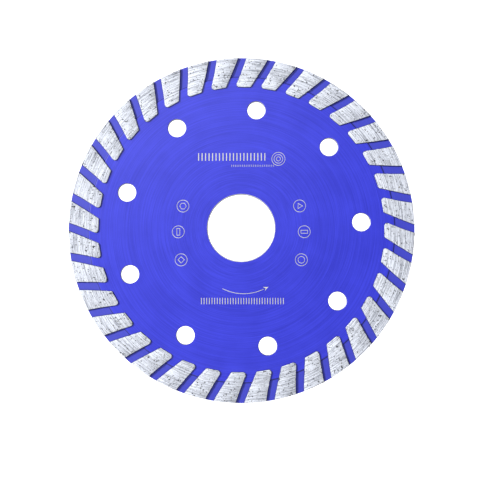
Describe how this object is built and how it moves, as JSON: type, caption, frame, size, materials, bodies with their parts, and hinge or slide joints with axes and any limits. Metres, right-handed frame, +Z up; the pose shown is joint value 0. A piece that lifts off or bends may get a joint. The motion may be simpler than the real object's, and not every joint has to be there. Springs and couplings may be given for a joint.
{
  "type": "diamond blade",
  "caption": "Turbo-rim diamond cutting disc for an angle grinder: a thin lacquered steel core with vent holes, ringed by a sintered diamond rim with leaning teeth.",
  "frame": {"origin": "centre of the bore, half way through the blade's thickness", "axes": "+Y along the spindle, away from the marked front face, which looks along -Y; +Z up and +X to the right as the front's marks are read"},
  "size_m": [0.115, 0.002, 0.115],
  "materials": {
    "core_steel": "ground sheet steel, bare where the lacquer is cut away",
    "sintered_bond": "sintered metal bond, ground on its faces and edge",
    "blue_lacquer": "thin blue lacquer, satin gloss",
    "diamond_grit": "crystal facets, cut flat by dressing"
  },
  "bodies": {
    "root": {"steel_core": "core_steel", "diamond_rim": "sintered_bond", "front_lacquer": "blue_lacquer", "back_lacquer": "blue_lacquer", "front_grit": "diamond_grit", "back_grit": "diamond_grit", "edge_grit": "diamond_grit"}
  },
  "joints": []
}
